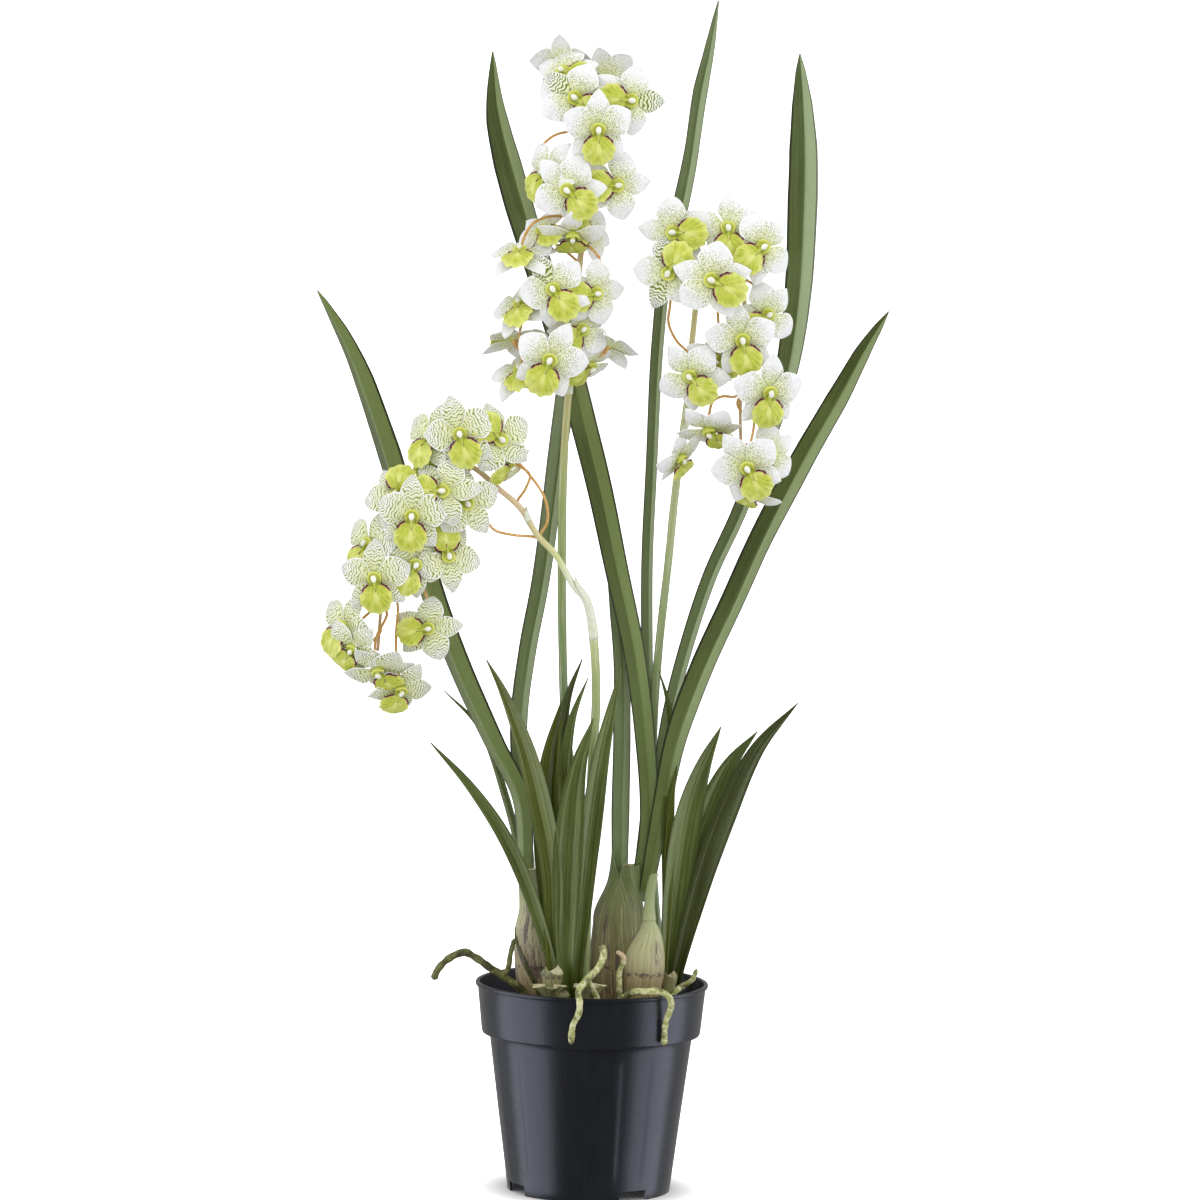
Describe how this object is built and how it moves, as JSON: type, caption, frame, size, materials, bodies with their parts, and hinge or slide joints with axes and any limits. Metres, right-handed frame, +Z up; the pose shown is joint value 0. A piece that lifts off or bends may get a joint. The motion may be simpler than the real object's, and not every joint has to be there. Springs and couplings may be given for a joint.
{
  "type": "potted orchid plant",
  "caption": "Cymbidium orchid in bloom in a round dark nursery pot, with arching flower spikes, strap leaves, pseudobulbs and aerial roots over the rim.",
  "frame": {"origin": "on the pot's axis, in the plane of the pot's foot ring and centre boss", "axes": "+Z up along the pot's axis, -Y towards the side the flowers face, +X to the right as seen from that side"},
  "size_m": [0.4659, 0.1979, 0.971],
  "materials": {
    "pot_plastic": "dark charcoal injection-moulded plastic with a slight sheen",
    "bark_medium": "dark brown bark chips, matt",
    "pseudobulb": "pale green swollen stem in dry tan sheaths, satin to matt",
    "strap_leaf": "olive to grey-green leaf, satin, ribbed lengthwise",
    "tuft_leaf": "fresh green grassy leaf, satin, ribbed lengthwise",
    "aerial_root": "green and cream root skin, matt",
    "flower_stem": "green stem that pales to tan, with amber flower stalks, satin",
    "flower": "white petals speckled yellow-green, with a lime lip marked in burgundy, soft satin"
  },
  "bodies": {
    "root": {"aerial_root_edge": "aerial_root", "aerial_root_front": "aerial_root", "aerial_root_left": "aerial_root", "aerial_root_right": "aerial_root", "aerial_root_short": "aerial_root", "bark_medium": "bark_medium", "flower_center_01": "flower", "flower_center_02": "flower", "flower_center_03": "flower", "flower_center_04": "flower", "flower_center_05": "flower", "flower_center_06": "flower", "flower_center_07": "flower", "flower_center_08": "flower", "flower_center_09": "flower", "flower_center_10": "flower", "flower_center_11": "flower", "flower_center_12": "flower", "flower_center_13": "flower", "flower_left_01": "flower", "flower_left_02": "flower", "flower_left_03": "flower", "flower_left_04": "flower", "flower_left_05": "flower", "flower_left_06": "flower", "flower_left_07": "flower", "flower_left_08": "flower", "flower_left_09": "flower", "flower_left_10": "flower", "flower_left_11": "flower", "flower_left_12": "flower", "flower_right_01": "flower", "flower_right_02": "flower", "flower_right_03": "flower", "flower_right_04": "flower", "flower_right_05": "flower", "flower_right_06": "flower", "flower_right_07": "flower", "flower_right_08": "flower", "flower_right_09": "flower", "flower_right_10": "flower", "flower_right_11": "flower", "flower_right_12": "flower", "flower_spike_center": "flower_stem", "flower_spike_left": "flower_stem", "flower_spike_right": "flower_stem", "leaf_tuft_left": "tuft_leaf", "leaf_tuft_right": "tuft_leaf", "long_leaf_center_left": "strap_leaf", "long_leaf_center_short": "strap_leaf", "long_leaf_center_tall": "strap_leaf", "long_leaf_inner_left": "strap_leaf", "long_leaf_outer_left": "strap_leaf", "long_leaf_right_arching": "strap_leaf", "long_leaf_right_upright": "strap_leaf", "nursery_pot": "pot_plastic", "pseudobulb_center": "pseudobulb", "pseudobulb_left": "pseudobulb", "pseudobulb_right": "pseudobulb"}
  },
  "joints": []
}
